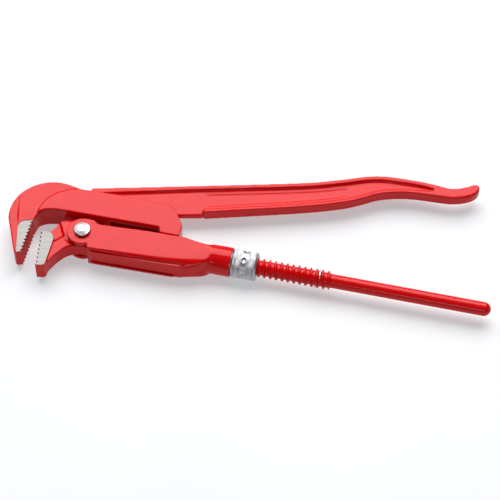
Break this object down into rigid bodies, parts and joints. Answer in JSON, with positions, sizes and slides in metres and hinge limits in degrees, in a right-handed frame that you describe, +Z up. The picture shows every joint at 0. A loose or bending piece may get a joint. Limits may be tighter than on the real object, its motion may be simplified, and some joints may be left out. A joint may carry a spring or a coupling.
{
  "type": "pipe wrench",
  "caption": "Swedish-pattern pipe wrench with 90 degree toothed jaws, I-section handle leg, screw leg in a riveted sleeve and a knurled adjusting nut.",
  "frame": {"origin": "bottom centre of the tool's box, lying on its side with the legs squeezed to the stop", "axes": "+X from the jaws to the handle ends, +Y from the screw leg to the upper leg, +Z up through the thickness of the tool"},
  "size_m": [0.3138, 0.1098, 0.0224],
  "materials": {
    "red_powder_coat": "satin powder coat, bare ground steel on the jaw flats",
    "zinc_plate": "bright zinc plate, knurled",
    "spring_steel": "plain",
    "bright_steel": "polished head"
  },
  "bodies": {
    "handle_leg": {"upper_leg": "red_powder_coat"},
    "sleeve": {"sleeve": "red_powder_coat", "pivot_rivet": "bright_steel", "nut_retaining_ring": "spring_steel"},
    "screw_leg": {"lower_leg": "red_powder_coat", "thread_stop_ring": "spring_steel"},
    "nut": {"adjusting_nut": "zinc_plate"}
  },
  "joints": [
    {"name": "leg_pivot", "type": "hinge", "parent": "handle_leg", "child": "sleeve", "pos_m": [-0.10709, 0.00551, 0.0098], "axis": [0, 0, -1], "range_deg": [0, 12]},
    {"name": "nut_spin", "type": "hinge", "parent": "sleeve", "child": "nut", "pos_m": [-0.00113, -0.0156, 0.0098], "axis": [-0.9753, 0.2207, 0], "range_deg": [-362, 602]},
    {"name": "jaw_slide", "type": "slide", "parent": "sleeve", "child": "screw_leg", "axis": [0.9753, -0.2207, 0], "range_m": [-0.0039, 0.0065]}
  ],
  "couplings": [
    {"joint": "nut_spin", "follows": "jaw_slide", "rad_per_m": 1611.1}
  ]
}
